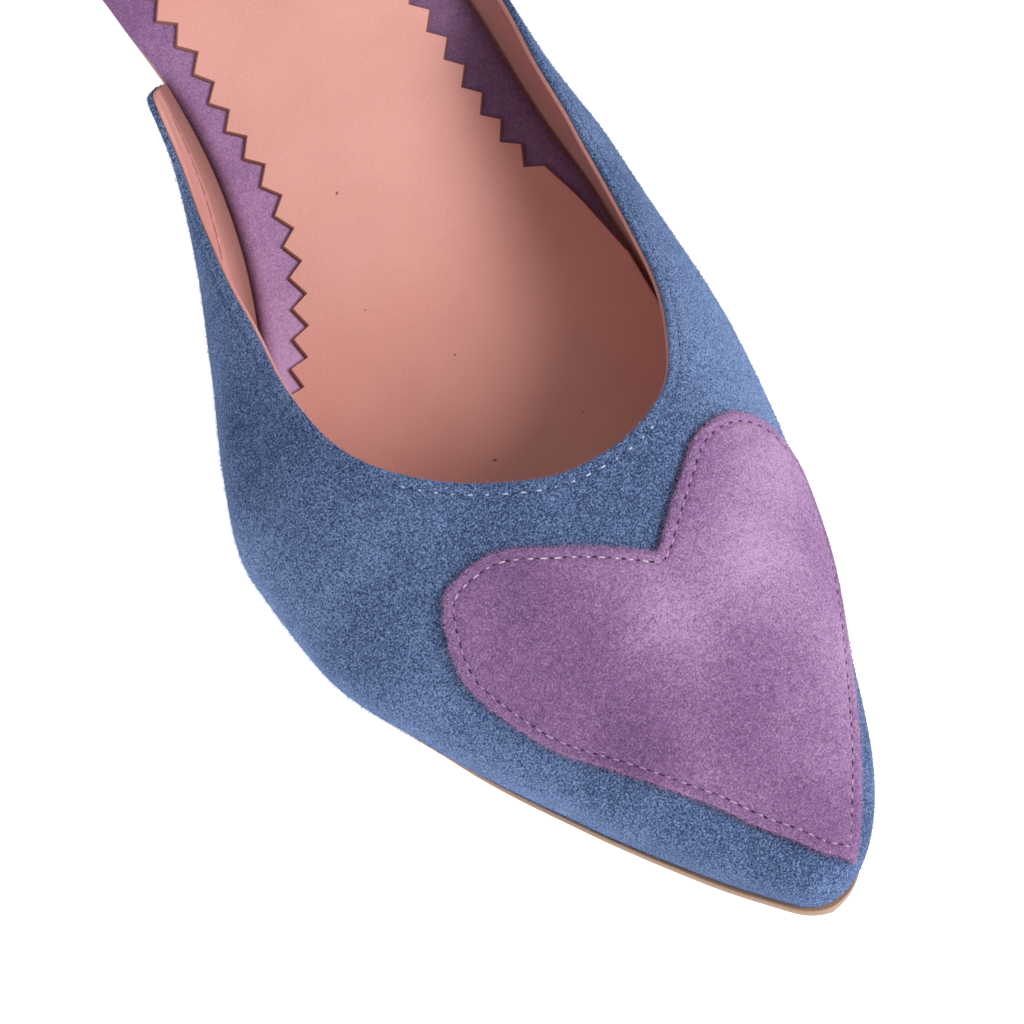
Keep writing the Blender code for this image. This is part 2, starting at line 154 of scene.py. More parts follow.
# %% The form of the shoe
def form(along, around):
    """A place on the outside of the shoe: out from the seam to the widest line, then over the ridge."""
    along, around = np.broadcast_arrays(np.asarray(along, float), np.asarray(around, float))
    lateral = around < 0
    side = np.where(lateral, -1.0, 1.0)
    seam = np.where(lateral, column("lateral", along), column("medial", along)) * BALL_WIDTH
    bulge = np.where(lateral, column("side_lat", along), column("side_med", along)) * BALL_WIDTH
    widest = seam + bulge
    ridge = column("ridge", along) * INSTEP
    lean = side * column("lean", along) * BALL_WIDTH
    full = column("full", along)
    waist = column("widest", along) * ridge
    up = 1 - abs(around)
    a = np.clip(up / LOW, 0, 1)
    low_x = seam * (1 - a) ** 2 + widest * (1 - (1 - a) ** 2)
    low_z = waist * (LOW_SWELL * a * (1 - a) + a * a)
    b = np.clip((up - LOW) / (1 - LOW), 0, 1)
    ends = (1 - b) ** 3, 3 * (1 - b) ** 2 * b, 3 * (1 - b) * b * b, b ** 3
    top_x = widest * (ends[0] + ends[1]) + (lean + (widest - lean) * full) * ends[2] + lean * ends[3]
    top_z = waist * ends[0] + (waist + (ridge - waist) * full) * ends[1] + ridge * (ends[2] + ends[3])
    x = side * np.where(up < LOW, low_x, top_x)
    z = seam_height(along) + np.where(up < LOW, low_z, top_z)
    return np.stack([x, LENGTH * along, z], -1)


FORM_STEP = 0.002


def unit(vectors):
    """The vectors, each at length one."""
    return vectors / np.linalg.norm(vectors, axis=-1, keepdims=True)


def directions(along, around):
    """How the form runs at a place: towards the heel, towards the medial side, and outward."""
    along = np.clip(along, FORM_STEP, 1 - FORM_STEP)
    behind, before = along + FORM_STEP, along - FORM_STEP
    medial, lateral = np.minimum(around + FORM_STEP, 1), np.maximum(around - FORM_STEP, -1)
    back = (form(behind, around) - form(before, around)) / (behind - before)[..., None]
    over = (form(along, medial) - form(along, lateral)) / (medial - lateral)[..., None]
    return back, over, unit(np.cross(over, back))


print("toe's end over the floor, mm:", round(1000 * float(seam_height(0.0)), 1))

# %% [markdown]
# Suede that has been pulled over a last is smooth, but not dead smooth. It sags a little beside the
# throat, swells over the joint of the toes and is drawn in where the wings bend. Such creases could be
# sculpted or simulated. Placed one by one, as soft troughs and ridges in the shoe's own sizes, they stay
# where the eye expects them and move the heart along with the suede below it.

# %% Soft troughs and ridges
Crease = namedtuple("Crease", "along around length width turn height")
CREASES = [
    Crease(0.400, -0.600, 0.022, 0.0050, 12, -0.0007),
    Crease(0.350, -0.740, 0.030, 0.0070, 8, 0.0005),
    Crease(0.262, -0.120, 0.0060, 0.026, 0, -0.0004),
    Crease(0.232, -0.420, 0.016, 0.009, -25, 0.0004),
    Crease(0.330, 0.560, 0.024, 0.0060, -10, -0.0004),
    Crease(0.190, 0.780, 0.030, 0.0060, -5, 0.0003),
]
HALF_GIRTH = 0.060


def relief(along, around):
    """How far the suede stands proud of the form, from the creases."""
    height = np.zeros(np.broadcast(along, around).shape)
    for crease in CREASES:
        back = (along - crease.along) * LENGTH
        over = (around - crease.around) * HALF_GIRTH
        turn = np.radians(crease.turn)
        run = back * np.cos(turn) + over * np.sin(turn)
        across = over * np.cos(turn) - back * np.sin(turn)
        height = height + crease.height * np.exp(-(run / crease.length) ** 2 - (across / crease.width) ** 2)
    return height


def surface(places, lift):
    """Points on the creased form at the places (along, around), lifted off it."""
    along, around = places[..., 0], places[..., 1]
    outward = directions(along, around)[2]
    return form(along, around) + outward * (relief(along, around) + lift)[..., None]


# %% Lines on the form
Place = namedtuple("Place", "along around")


def traced(places, count):
    """A smooth line on the form through a few places."""
    along, around = np.array(places).T
    runs = np.linalg.norm(np.diff(form(along, around), axis=0), axis=1)
    run = np.concatenate([[0], np.cumsum(runs)]) / runs.sum()
    at = np.linspace(0, 1, count + 1)
    return np.stack([through(run, along, at), through(run, around, at)], -1)


INSET_STEP = 0.001


def inset(line, distance, ring=False):
    """A line moved sideways over the form by a real distance, to the right of the way it runs."""
    steps = max(1, int(np.ceil(abs(distance) / INSET_STEP)))
    for _ in range(steps):
        points = form(line[:, 0], line[:, 1])
        run = (np.roll(points, -1, 0) - np.roll(points, 1, 0)) if ring else np.gradient(points, axis=0)
        back, over, outward = directions(line[:, 0], line[:, 1])
        side = unit(np.cross(run, outward))
        bb, bo, oo = (back * back).sum(1), (back * over).sum(1), (over * over).sum(1)
        sb, so = (side * back).sum(1), (side * over).sum(1)
        square = bb * oo - bo * bo
        move = np.stack([oo * sb - bo * so, bb * so - bo * sb], -1) / square[:, None]
        line = line + move * distance / steps
        line = np.stack([np.clip(line[:, 0], 0, 1), np.clip(line[:, 1], -1, 1)], -1)
    return line


# %% [markdown]
# Every piece becomes a mesh in the same way. Its points are worked out in rows, and neighbouring rows
# are joined by four-cornered faces. The rows are placed where the solids stand: the form starts at the
# toe's tip, so the tip's place in the shoe's frame is read from the outsole's solid.

# %% From rows of points to a piece
def side_line(side, margin, samples=1200):
    """The seam line of one side in plan, moved out by margin(along), from toe to heel."""
    along = (1 - np.cos(np.linspace(0, np.pi, samples))) / 2
    seam = column("lateral" if side < 0 else "medial", along) * BALL_WIDTH
    line = np.stack([side * seam, LENGTH * along], -1)
    run = np.gradient(line, axis=0)
    out = side * np.stack([run[:, 1], -run[:, 0]], -1)
    out[0] = (0, -1)
    out[-1] = (0, 1)
    return line + unit(out) * margin(along)[:, None]


Margin = namedtuple("Margin", "along share")
SOLE_LATERAL = [
    Margin(0.000, 1.0),
    Margin(0.040, 1.0),
    Margin(0.120, 0.6),
    Margin(0.300, 0.6),
    Margin(0.450, 0.0),
    Margin(0.560, -1.2),
    Margin(0.610, -2.2),
    Margin(0.655, -3.7),
    Margin(0.720, -1.8),
    Margin(1.000, -1.0),
]
SOLE_MEDIAL = [
    Margin(0.000, 1.0),
    Margin(0.008, 0.2),
    Margin(0.020, -0.6),
    Margin(0.060, -1.0),
    Margin(0.300, -0.6),
    Margin(0.450, -0.6),
    Margin(0.560, -1.4),
    Margin(0.610, -2.2),
    Margin(0.655, -3.7),
    Margin(0.720, -1.8),
    Margin(1.000, -1.0),
]


def margin_of(table, size):
    """A margin along the shoe: a named size times the table's share."""
    places, shares = zip(*table)
    return lambda along: through(places, shares, along) * size


def sole_side(side):
    """One edge of the outsole in plan."""
    return side_line(side, margin_of(SOLE_LATERAL if side < 0 else SOLE_MEDIAL, SOLE_EDGE))


def toe_place():
    """Where the form's toe tip stands in the frame."""
    low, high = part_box("outsole")
    sides = [sole_side(side) for side in (-1, 1)]
    middle = (sides[0][:, 0].min() + sides[1][:, 0].max()) / 2
    return np.array([(low.x + high.x) / 2 - middle, low.y + SOLE_EDGE, 0])


TOE = toe_place()
SAME_POINT = 0.000001


def grid_faces(rows, columns, ring=False, first=0):
    """Faces between the neighbouring rows of a grid of points."""
    k = np.arange(columns if ring else columns - 1)
    start = first + np.arange(rows - 1)[:, None] * columns
    near, next_to = start + k, start + (k + 1) % columns
    return np.stack([near, next_to, next_to + columns, near + columns], -1).reshape(-1, 4)


def piece_of(name, points, faces, finish, node=None, merge=True):
    """A piece of the shoe: its mesh in the frame, its finish, and the solid that it stands for."""
    mesh = bpy.data.meshes.new(name)
    mesh.from_pydata((points.reshape(-1, 3) + TOE).tolist(), [], faces.tolist())
    if merge:
        work = bmesh.new()
        work.from_mesh(mesh)
        bmesh.ops.remove_doubles(work, verts=work.verts, dist=SAME_POINT)
        bmesh.ops.recalc_face_normals(work, faces=work.faces)
        work.to_mesh(mesh)
        work.free()
    mesh.shade_smooth()
    mesh.materials.append(finish)
    piece = bpy.data.objects.new(name, mesh)
    bpy.context.scene.collection.objects.link(piece)
    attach(piece, "root")
    if node:
        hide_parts(node)
    triangles = sum(len(face.vertices) - 2 for face in mesh.polygons)
    print(f"{name}: {triangles} triangles")
    return piece


def mark(piece, name, values):
    """Writes a value for each point of a piece, for its finish to read."""
    attribute = piece.data.attributes.new(name, "FLOAT", "POINT")
    attribute.data.foreach_set("value", np.asarray(values, dtype=np.float32))


def points_of(piece):
    """The piece's points, counted from the toe's tip."""
    flat = np.empty(3 * len(piece.data.vertices), dtype=np.float32)
    piece.data.vertices.foreach_get("co", flat)
    return flat.reshape(-1, 3) - TOE


print("toe tip in the frame, mm:", (TOE * 1000).round(2))

# %% [markdown]
# The picture was taken from above the toe with a long lens, the shoe lying aslant in it. The camera is
# worked out from that: how steeply and from which side it looks, how many pixels a metre takes at the
# toe, and which pixel the toe's tip falls on. A long lens from far away keeps the heel from shrinking.

# %% Camera
PHOTO = 1024
LOOK_DOWN = np.radians(61)
LOOK_ROUND = np.radians(-31)
CAMERA_DISTANCE = 1.1
PIXELS_PER_METRE = 6600
TIP_PIXEL = (835, 912)
TIP_HEIGHT = 0.0058
TIP_AHEAD = 0.0012
SENSOR = 36

to_right = np.array([np.cos(LOOK_ROUND), np.sin(LOOK_ROUND), 0])
to_camera = np.array([
    np.sin(LOOK_ROUND) * np.cos(LOOK_DOWN),
    -np.cos(LOOK_ROUND) * np.cos(LOOK_DOWN),
    np.sin(LOOK_DOWN),
])
to_top = np.cross(to_camera, to_right)
tip = TOE + np.array([0, -TIP_AHEAD, TIP_HEIGHT])
target = tip - to_right * (TIP_PIXEL[0] - PHOTO / 2) / PIXELS_PER_METRE
target = target + to_top * (TIP_PIXEL[1] - PHOTO / 2) / PIXELS_PER_METRE

camera_data = bpy.data.cameras.new("camera")
camera_data.sensor_width = SENSOR
camera_data.lens = SENSOR * PIXELS_PER_METRE * CAMERA_DISTANCE / PHOTO
camera_data.clip_start = 0.05
camera_data.clip_end = 20
camera = bpy.data.objects.new("camera", camera_data)
camera.location = target + to_camera * CAMERA_DISTANCE
camera.rotation_mode = "QUATERNION"
camera.rotation_quaternion = Vector(-to_camera).to_track_quat("-Z", "Y")
bpy.context.scene.collection.objects.link(camera)
bpy.context.scene.camera = camera
print("lens, mm:", round(camera_data.lens, 1))

# %% [markdown]
# A finish is a small tree of nodes. Suede is the rough inner side of a hide: it shows no gloss, but a
# nap of short fibres that is darker where they part, lighter where they lie over, and lightest where
# one looks along them. So its colour follows three sizes of noise, a bump lifts the same fibres, and
# sheen adds the light rim. A photo of suede would be quicker, but it would not fit every shape.

# %% Small helpers for finishes
def node(tree, kind, inputs=None, **settings):
    """A shader node; an input that is a socket is linked, and any other is a value."""
    made = tree.nodes.new("ShaderNode" + kind)
    for key, value in settings.items():
        setattr(made, key, value)
    for key, value in (inputs or {}).items():
        if isinstance(value, bpy.types.NodeSocket):
            tree.links.new(value, made.inputs[key])
        else:
            made.inputs[key].default_value = value
    return made


def new_finish(name):
    """An empty finish: its tree, its shader and the place on the piece, in metres."""
    finish = bpy.data.materials.new(name)
    finish.use_nodes = True
    tree = finish.node_tree
    shader = tree.nodes["Principled BSDF"]
    place = node(tree, "TexCoord").outputs["Object"]
    return finish, tree, shader, place


def noise(tree, place, size, detail=2.0):
    """Noise whose marks are about so many metres across."""
    return node(tree, "TexNoise", {"Vector": place, "Scale": 1 / size, "Detail": detail}).outputs["Fac"]


def sum_of(tree, *parts):
    """The weighted sum of several values."""
    total = None
    for value, weight in parts:
        inputs = {0: value, 1: weight, 2: 0.0 if total is None else total}
        total = node(tree, "Math", inputs, operation="MULTIPLY_ADD").outputs[0]
    return total


def ramp(tree, value, stops):
    """A colour for each value: stops are pairs of a value and a colour."""
    made = node(tree, "ValToRGB", {"Fac": value})
    band = made.color_ramp
    while len(band.elements) < len(stops):
        band.elements.new(0.5)
    for element, (at, colour) in zip(band.elements, stops):
        element.position = at
        element.color = (*colour, 1)
    return made.outputs["Color"]


def rgb(red, green, blue):
    """A colour as a picture holds it, 0 to 255, as the light that it stands for."""
    share = np.array([red, green, blue]) / 255
    light = np.where(share <= 0.04045, share / 12.92, ((share + 0.055) / 1.055) ** 2.4)
    return tuple(float(part) for part in light)


# %% Suede
MIX_COLOURS = (6, 7)
MOTTLE = 0.014
PILE = 0.0011
FLECK = 0.00030
FLECK_WEIGHT = 0.70
# Colours of painted shade: a finish darkens towards them where a piece is marked deep.
SUEDE_PAINTED_SHADE = (0.10, 0.07, 0.08)
LEATHER_PAINTED_SHADE = (0.12, 0.06, 0.05)


def shaded(tree, colour, deep):
    """The colour, darker where the piece is marked deep: painted shade in crevices, beside the heart and
    under the medial wing.
    """
    marked = node(tree, "Attribute", attribute_name="deep").outputs["Fac"]
    mixed = node(tree, "Mix", data_type="RGBA", blend_type="MULTIPLY")
    tree.links.new(marked, mixed.inputs["Factor"])
    tree.links.new(colour, mixed.inputs[MIX_COLOURS[0]])
    mixed.inputs[MIX_COLOURS[1]].default_value = (*deep, 1)
    return mixed.outputs[2]


def suede(name, dark, body, light, sheen, contrast=1.0):
    """Suede: three sizes of noise for its tone, the finest of them strongest, and a bump from the same."""
    finish, tree, shader, place = new_finish(name)
    mottle = noise(tree, place, MOTTLE, 2)
    pile = noise(tree, place, PILE, 3)
    fleck = noise(tree, place, FLECK, 1)
    # This mark lightens or darkens the tone: rubbed nap, and painted light and shade.
    wear_and_painted_light = node(tree, "Attribute", attribute_name="wear_and_painted_light").outputs["Fac"]
    fine, plain = FLECK_WEIGHT * contrast, FLECK_WEIGHT * (1 - contrast)
    tone = sum_of(tree, (mottle, 0.16), (pile, 0.14), (fleck, fine), (0.5, plain), (wear_and_painted_light, 0.16))
    colour = ramp(tree, tone, [(0.38, dark), (0.50, body), (0.66, light)])
    height = sum_of(tree, (pile, 1 - FLECK_WEIGHT), (fleck, FLECK_WEIGHT))
    bump = node(tree, "Bump", {"Height": height, "Strength": 0.75 * contrast, "Distance": 0.0004})
    tree.links.new(shaded(tree, colour, SUEDE_PAINTED_SHADE), shader.inputs["Base Color"])
    tree.links.new(bump.outputs["Normal"], shader.inputs["Normal"])
    shader.inputs["Roughness"].default_value = 0.95
    shader.inputs["Specular IOR Level"].default_value = 0.10
    shader.inputs["Sheen Weight"].default_value = 0.55
    shader.inputs["Sheen Roughness"].default_value = 0.40
    shader.inputs["Sheen Tint"].default_value = (*sheen, 1)
    return finish


blue_suede = suede("blue suede", rgb(44, 56, 90), rgb(78, 96, 134), rgb(124, 146, 188), rgb(150, 178, 230))
purple_suede = suede(
    "purple suede", rgb(98, 68, 108), rgb(134, 99, 142), rgb(182, 148, 186), rgb(220, 180, 225),
    contrast=0.5)
insole_suede = suede(
    "insole suede", rgb(120, 84, 124), rgb(154, 114, 154), rgb(188, 150, 188), rgb(220, 180, 225),
    contrast=0.4)
print("suedes:", blue_suede.name, purple_suede.name, insole_suede.name)

# %% [markdown]
# The other finishes are smooth: sock and lining are fine pink leather, the sole is tan, the threads are
# matt and the heel stands on rubber. They differ in colour, gloss and grain, so one recipe makes them
# all: clouds of colour, pores as small cells, and faint wrinkles that run across the shoe.

# %% Leather, thread and rubber
CLOUD = 0.03
WRINKLE = 0.006


def leather(name, body, deep, rough=0.42, grain=0.0006, bump_height=0.00005):
    """Smooth leather: soft clouds of colour, a fine grain, faint wrinkles and a little gloss."""
    finish, tree, shader, place = new_finish(name)
    cloud = noise(tree, place, CLOUD, 3)
    pores = node(tree, "TexVoronoi", {"Vector": place, "Scale": 1 / grain}, feature="F1").outputs["Distance"]
    fine = noise(tree, place, grain / 2, 3)
    tone = sum_of(tree, (cloud, 0.7), (fine, 0.3))
    colour = ramp(tree, tone, [(0.35, deep), (0.6, body)])
    tree.links.new(shaded(tree, colour, LEATHER_PAINTED_SHADE), shader.inputs["Base Color"])
    along = node(tree, "Mapping", {"Vector": place, "Scale": (1.0, 3.0, 1.0)}).outputs["Vector"]
    wrinkle = noise(tree, along, WRINKLE, 3)
    height = sum_of(tree, (pores, 0.25), (fine, 0.25), (wrinkle, 0.50))
    bump = node(tree, "Bump", {"Height": height, "Strength": 0.35, "Distance": bump_height})
    tree.links.new(bump.outputs["Normal"], shader.inputs["Normal"])
    shade = node(tree, "MapRange", {"Value": fine, "To Min": rough - 0.06, "To Max": rough + 0.08})
    tree.links.new(shade.outputs["Result"], shader.inputs["Roughness"])
    return finish


sock_leather = leather("pink sock leather", rgb(212, 146, 134), rgb(200, 132, 120), bump_height=0.00014)
lining_leather = leather("pink lining leather", rgb(222, 158, 150), rgb(208, 142, 134), rough=0.5)
cut_edge = leather("cut edge", rgb(138, 88, 80), rgb(104, 62, 56), rough=0.8, grain=0.0003)
sole_leather = leather("sole leather", rgb(158, 126, 102), rgb(134, 102, 80), rough=0.5, grain=0.0008)
heel_rubber = leather("heel rubber", rgb(58, 56, 58), rgb(40, 38, 40), rough=0.75, grain=0.0005)
# A lighter copy of the blue thread: painted highlight where the threads catch the light at the throat.
highlit_thread = leather("blue thread, painted highlight", rgb(200, 212, 232), rgb(150, 168, 202), rough=0.7, grain=0.0002)
blue_thread = leather("blue thread", rgb(92, 112, 152), rgb(70, 88, 126), rough=0.8, grain=0.0002)
pale_thread = leather("pale thread", rgb(232, 212, 224), rgb(206, 178, 200), rough=0.7, grain=0.0002)
purple_thread = leather("purple thread", rgb(196, 160, 192), rgb(146, 108, 148), rough=0.7, grain=0.0002)
hole_shade = leather("needle hole, painted shade", rgb(46, 36, 58), rgb(32, 26, 42), rough=0.9, grain=0.0002)

# %% [markdown]
# The upper is the suede one sees: one cut piece pulled over the last, about a millimetre thick, with a
# raw edge round the opening. A maker would cut it flat and stretch it. Here rows of points run from the
# toe's tip to the top edge. The last rows follow the edge at real distances, so that the edge can be
# rounded and the seam beside it can sink in.

# %% The wall of the upper
TOPLINE = [
    Place(0.664, -1.000),
    Place(0.653, -0.880),
    Place(0.618, -0.785),
    Place(0.572, -0.703),
    Place(0.492, -0.560),
    Place(0.410, -0.440),
    Place(0.341, -0.323),
    Place(0.301, -0.192),
    Place(0.282, -0.035),
    Place(0.288, 0.103),
    Place(0.310, 0.250),
    Place(0.342, 0.335),
    Place(0.378, 0.398),
    Place(0.412, 0.430),
    Place(0.450, 0.462),
    Place(0.488, 0.488),
    Place(0.530, 0.535),
    Place(0.572, 0.620),
    Place(0.615, 0.735),
    Place(0.650, 0.870),
    Place(0.664, 1.000),
]
TOE_CROWDING = 1.7
TOPLINE_PULL = 1.3
SUEDE = 0.0010
EDGE_BAND = 0.0040
SEAM_IN = 0.00145
SEAM_DEPTH = 0.00022
SEAM_WIDTH = 0.00045
TURNED_IN = 0.0026
RESTING = 0.0001
EDGE_BULGE = 0.35
EDGE_TURNS = np.radians([35, 65, 90, 115, 145])
Layer = namedtuple("Layer", "outer inner rows columns band back_step")
SUEDE_LAYER = Layer(0.0, -SUEDE, 168, 360, 17, 4)
LINING_LAYER = Layer(-SUEDE, -WALL, 88, 240, 13, 1)


def upper_places(rows, columns, band):
    """Rows of places from the toe's tip to the top edge, the last ones at real distances from it."""
    top = traced(TOPLINE, columns)
    start = inset(top, EDGE_BAND)
    seam_to_seam = np.linspace(-1, 1, columns + 1)
    made = []
    for k in range(rows):
        share = k / rows
        pull = share ** TOPLINE_PULL
        along = start[:, 0] * share ** TOE_CROWDING
        made.append(np.stack([along, seam_to_seam * (1 - pull) + start[:, 1] * pull], -1))
    for distance in np.linspace(EDGE_BAND, 0, band):
        made.append(inset(top, distance))
    made[0] = made[0] * 0
    return np.array(made), np.r_[np.full(rows, EDGE_BAND), np.linspace(EDGE_BAND, 0, band)]


def seam_sink(distance):
    """The thread draws the suede in along the seam."""
    return -SEAM_DEPTH * np.exp(-((distance - SEAM_IN) / SEAM_WIDTH) ** 2)


def edge_rows(line, outer, inner, bulge, ring=False):
    """Rows over a cut edge, from its outer to its inner side, rounded outwards."""
    rows = []
    for turn in EDGE_TURNS:
        lift = (outer + inner) / 2 + (outer - inner) / 2 * np.cos(turn)
        rows.append(surface(inset(line, -bulge * np.sin(turn), ring), lift))
    return rows


def tip_row(points, lift):
    """The toe's tip as a whole row, moved along the floor instead of square to the form."""
    points[:] = form(0.0, 0.0) + np.array([0, -lift, 0])


def turned_in(along, side):
    """Where the wall's lower edge is turned in under the board: flat on the outsole, inside the seam."""
    seam = form(along, side)
    reach = np.minimum(TURNED_IN, abs(seam[:, 0]))
    return seam + np.outer(-side * reach, (1, 0, 0)) + np.array([0, 0, RESTING])


def make_wall(name, layer, sink, finish, node_name):
    """One layer of the upper: its outside, the rounded top edge and its inside down to the toe."""
    places, distance = upper_places(layer.rows, layer.columns, layer.band)
    lifts = layer.outer + (seam_sink(distance) if sink else 0 * distance)
    outside = surface(places, lifts[:, None])
    back_places = places[::layer.back_step][::-1]
    inside = surface(back_places, layer.inner)
    tip_row(outside[0], layer.outer)
    tip_row(inside[-1], layer.inner)
    edge = edge_rows(places[-1], layer.outer, layer.inner, EDGE_BULGE * (layer.outer - layer.inner))
    points = np.concatenate([outside, np.array(edge), inside])
    first, last = points[:, :1].copy(), points[:, -1:].copy()
    first[-len(inside):, 0] = turned_in(back_places[:, 0, 0], -1)
    last[-len(inside):, 0] = turned_in(back_places[:, -1, 0], 1)
    points = np.concatenate([first, points, last], axis=1)
    return piece_of(name, points, grid_faces(*points.shape[:2]), finish, node_name)


upper = make_wall("upper_suede", SUEDE_LAYER, True, blue_suede, "upper")
lining = make_wall("upper_lining", LINING_LAYER, False, lining_leather, None)

# %% [markdown]
# Where the lining meets the board little light comes in, and on the medial side the wing stands in its
# own shade. The light does part of this; the rest is painted shade, a value written on each point of the
# piece by which the finish darkens its colour.

# %% Painted shade on the lining, in its crevice and under the medial wing
LINING_CREVICE = 0.0009
LINING_DARKEST = 0.6
LINING_SHADE = 0.35

lining_points = points_of(lining)
over_board = lining_points[:, 2] - seam_height(lining_points[:, 1] / LENGTH) - BOARD
# Painted shade: on the lateral side strongest at the board's top and gone 0.9 mm above it; the medial side
# gets an even painted shade.
crevice_shade = LINING_DARKEST * np.clip(1 - over_board / LINING_CREVICE, 0, 1)
mark(lining, "deep", np.where(lining_points[:, 0] < 0, crevice_shade, LINING_SHADE))
print("darkest mark on the lining:", crevice_shade.max())

# %% [markdown]
# The heart is a flat piece of purple suede, cut out by hand with a raw edge and sewn on before the upper
# is lasted, so it bends with the toe. It could be shrink-wrapped onto the upper. Worked out on the form,
# its outline is two half lines from the tip to the notch, and it follows each crease below it.

# %% The heart
HEART_LATERAL = [
    Place(0.009, 0.345),
    Place(0.018, 0.050),
    Place(0.036, -0.147),
    Place(0.077, -0.312),
    Place(0.113, -0.408),
    Place(0.165, -0.508),
    Place(0.206, -0.502),
    Place(0.240, -0.435),
    Place(0.262, -0.365),
    Place(0.266, -0.280),
    Place(0.247, -0.157),
    Place(0.216, -0.015),
]
HEART_MEDIAL = [
    Place(0.009, 0.345),
    Place(0.047, 0.413),
    Place(0.093, 0.510),
    Place(0.144, 0.610),
    Place(0.200, 0.668),
    Place(0.243, 0.650),
    Place(0.270, 0.520),
    Place(0.279, 0.377),
    Place(0.271, 0.238),
    Place(0.252, 0.145),
    Place(0.216, -0.015),
]
HEART_CENTRE = Place(0.150, 0.060)
HEART_SEAM_IN = 0.0014
HEART_SEAM_DEPTH = 0.00030
HEART_BAND = 0.88
HEART_BULGE = 0.00015
UNDER_STEP = 6
EDGE_WEAR = 0.00025


def heart_edge(count):
    """The heart's outline on the form, all the way round."""
    halves = [traced(half, count) for half in (HEART_LATERAL, HEART_MEDIAL)]
    return np.concatenate([halves[0][:-1], halves[1][:0:-1]])


def reach_of(points, line):
    """How far each point lies from the nearest place of a closed line."""
    nearest = KDTree(len(line))
    for k, point in enumerate(line):
        nearest.insert(point, k)
    nearest.balance()
    return np.array([nearest.find(point)[2] for point in points.reshape(-1, 3)]).reshape(points.shape[:-1])


fine_edge = heart_edge(3000)


def make_heart(rings=50, steps=170, band=22):
    """Rings from the middle to the outline, sunk along the seam, then the cut edge and the underside."""
    edge = heart_edge(steps)
    centre = np.array(HEART_CENTRE)
    shares = np.r_[np.linspace(0, HEART_BAND, rings, endpoint=False), np.linspace(HEART_BAND, 1, band)]
    places = centre + (edge - centre) * shares[:, None, None]
    reach = reach_of(surface(places, 0), surface(fine_edge, 0))
    lift = GAP + HEART - HEART_SEAM_DEPTH * np.exp(-((reach - HEART_SEAM_IN) / SEAM_WIDTH) ** 2)
    lift -= EDGE_WEAR * np.exp(-reach / EDGE_WEAR)
    top = surface(places, lift)
    rim = edge_rows(edge, GAP + HEART - EDGE_WEAR, RESTING / 2, HEART_BULGE, ring=True)
    under = surface(places[::-UNDER_STEP], RESTING / 2)
    points = np.concatenate([top, np.array(rim), under])
    faces = grid_faces(len(points), len(edge), ring=True)
    return piece_of("heart_suede", points, faces, purple_suede, "heart")


heart = make_heart()

# %% [markdown]
# Suede shows how it was handled: the heart's nap is lighter where it was rubbed and darker where it lies
# untouched. Part of this is painted light, lighter on the heart's medial lobes, which face the light, and
# darker on its lateral ones. On the toe the patches are painted light and shade only: lighter on the
# medial side, which faces the light, and low on the lateral side, where the white floor lights it, and
# darker midway up the lateral side. Right beside the heart the suede gets a painted shadow under the cut
# edge. Each patch is a soft spot on the form, with a size and a strength.

# %% Wear, painted light and painted shade on the suede
HEART_SHADOW_DARKEST = 0.45
HEART_SHADOW_REACH = 0.0008
Dab = namedtuple("Dab", "along around size strength")
# Rubbed nap, and painted light: lighter on the heart's medial lobes, darker on its lateral ones.
HEART_WEAR_AND_LIGHT = [
    Dab(0.185, -0.060, 0.0085, 0.75),
    Dab(0.195, 0.250, 0.0080, 0.65),
    Dab(0.120, 0.500, 0.0140, 0.55),
    Dab(0.245, 0.430, 0.0090, 0.80),
    Dab(0.235, -0.300, 0.0070, -0.5),
    Dab(0.140, -0.300, 0.0120, -0.4),
]
# Painted highlight on the medial side and low on the lateral side, painted shade midway up the lateral side.
TOE_PAINTED_LIGHT = [
    Dab(0.330, -0.380, 0.0120, 0.15),
    Dab(0.240, -0.900, 0.0120, 0.35),
    Dab(0.150, -0.900, 0.0120, 0.30),
    Dab(0.330, 0.700, 0.0200, 0.60),
    Dab(0.250, 0.800, 0.0200, 0.60),
    Dab(0.350, -0.850, 0.0140, 0.60),
    Dab(0.300, -0.560, 0.0120, -0.15),
    Dab(0.420, -0.520, 0.0100, -0.15),
]


def painted_light_and_wear(piece, dabs):
    """How much each point of a piece is lightened or darkened by the patches: wear and painted light on the
    heart, painted light and shade on the toe.
    """
    points = points_of(piece)
    total = np.zeros(len(points))
    for dab in dabs:
        gap = np.linalg.norm(points - form(dab.along, dab.around), axis=1)
        total += dab.strength * np.exp(-(gap / dab.size) ** 2)
    return total


mark(heart, "wear_and_painted_light", painted_light_and_wear(heart, HEART_WEAR_AND_LIGHT))
mark(upper, "wear_and_painted_light", painted_light_and_wear(upper, TOE_PAINTED_LIGHT))
# Painted shadow on the suede right beside the heart's cut edge.
to_heart = reach_of(points_of(upper), surface(fine_edge, 0))
mark(upper, "deep", HEART_SHADOW_DARKEST * np.exp(-(to_heart / HEART_SHADOW_REACH) ** 2))
print("rubbed patches:", len(HEART_WEAR_AND_LIGHT) + len(TOE_PAINTED_LIGHT))

# %% [markdown]
# The foot stands on a stiff board wrapped in purple suede, which shows as a rounded border beside the
# sock and as the shoe's edge behind the wings. Below it lies the leather outsole, tan and cut square.
# Both are plates that follow the foot's bottom line up to the heel. A bevel would round their edges too;
# here each row across the plate is drawn as a flat loop with round ends.

# %% Insole board and outsole
BOARD_MARGIN = [
    Margin(0.000, 1.0),
    Margin(0.655, 1.0),
    Margin(0.700, 0.4),
    Margin(0.760, 0.0),
    Margin(1.000, 0.0),
]
TOE_ROOM = [
    Margin(0.00, 1.0),
    Margin(0.06, 0.0),
    Margin(1.00, 0.0),
]


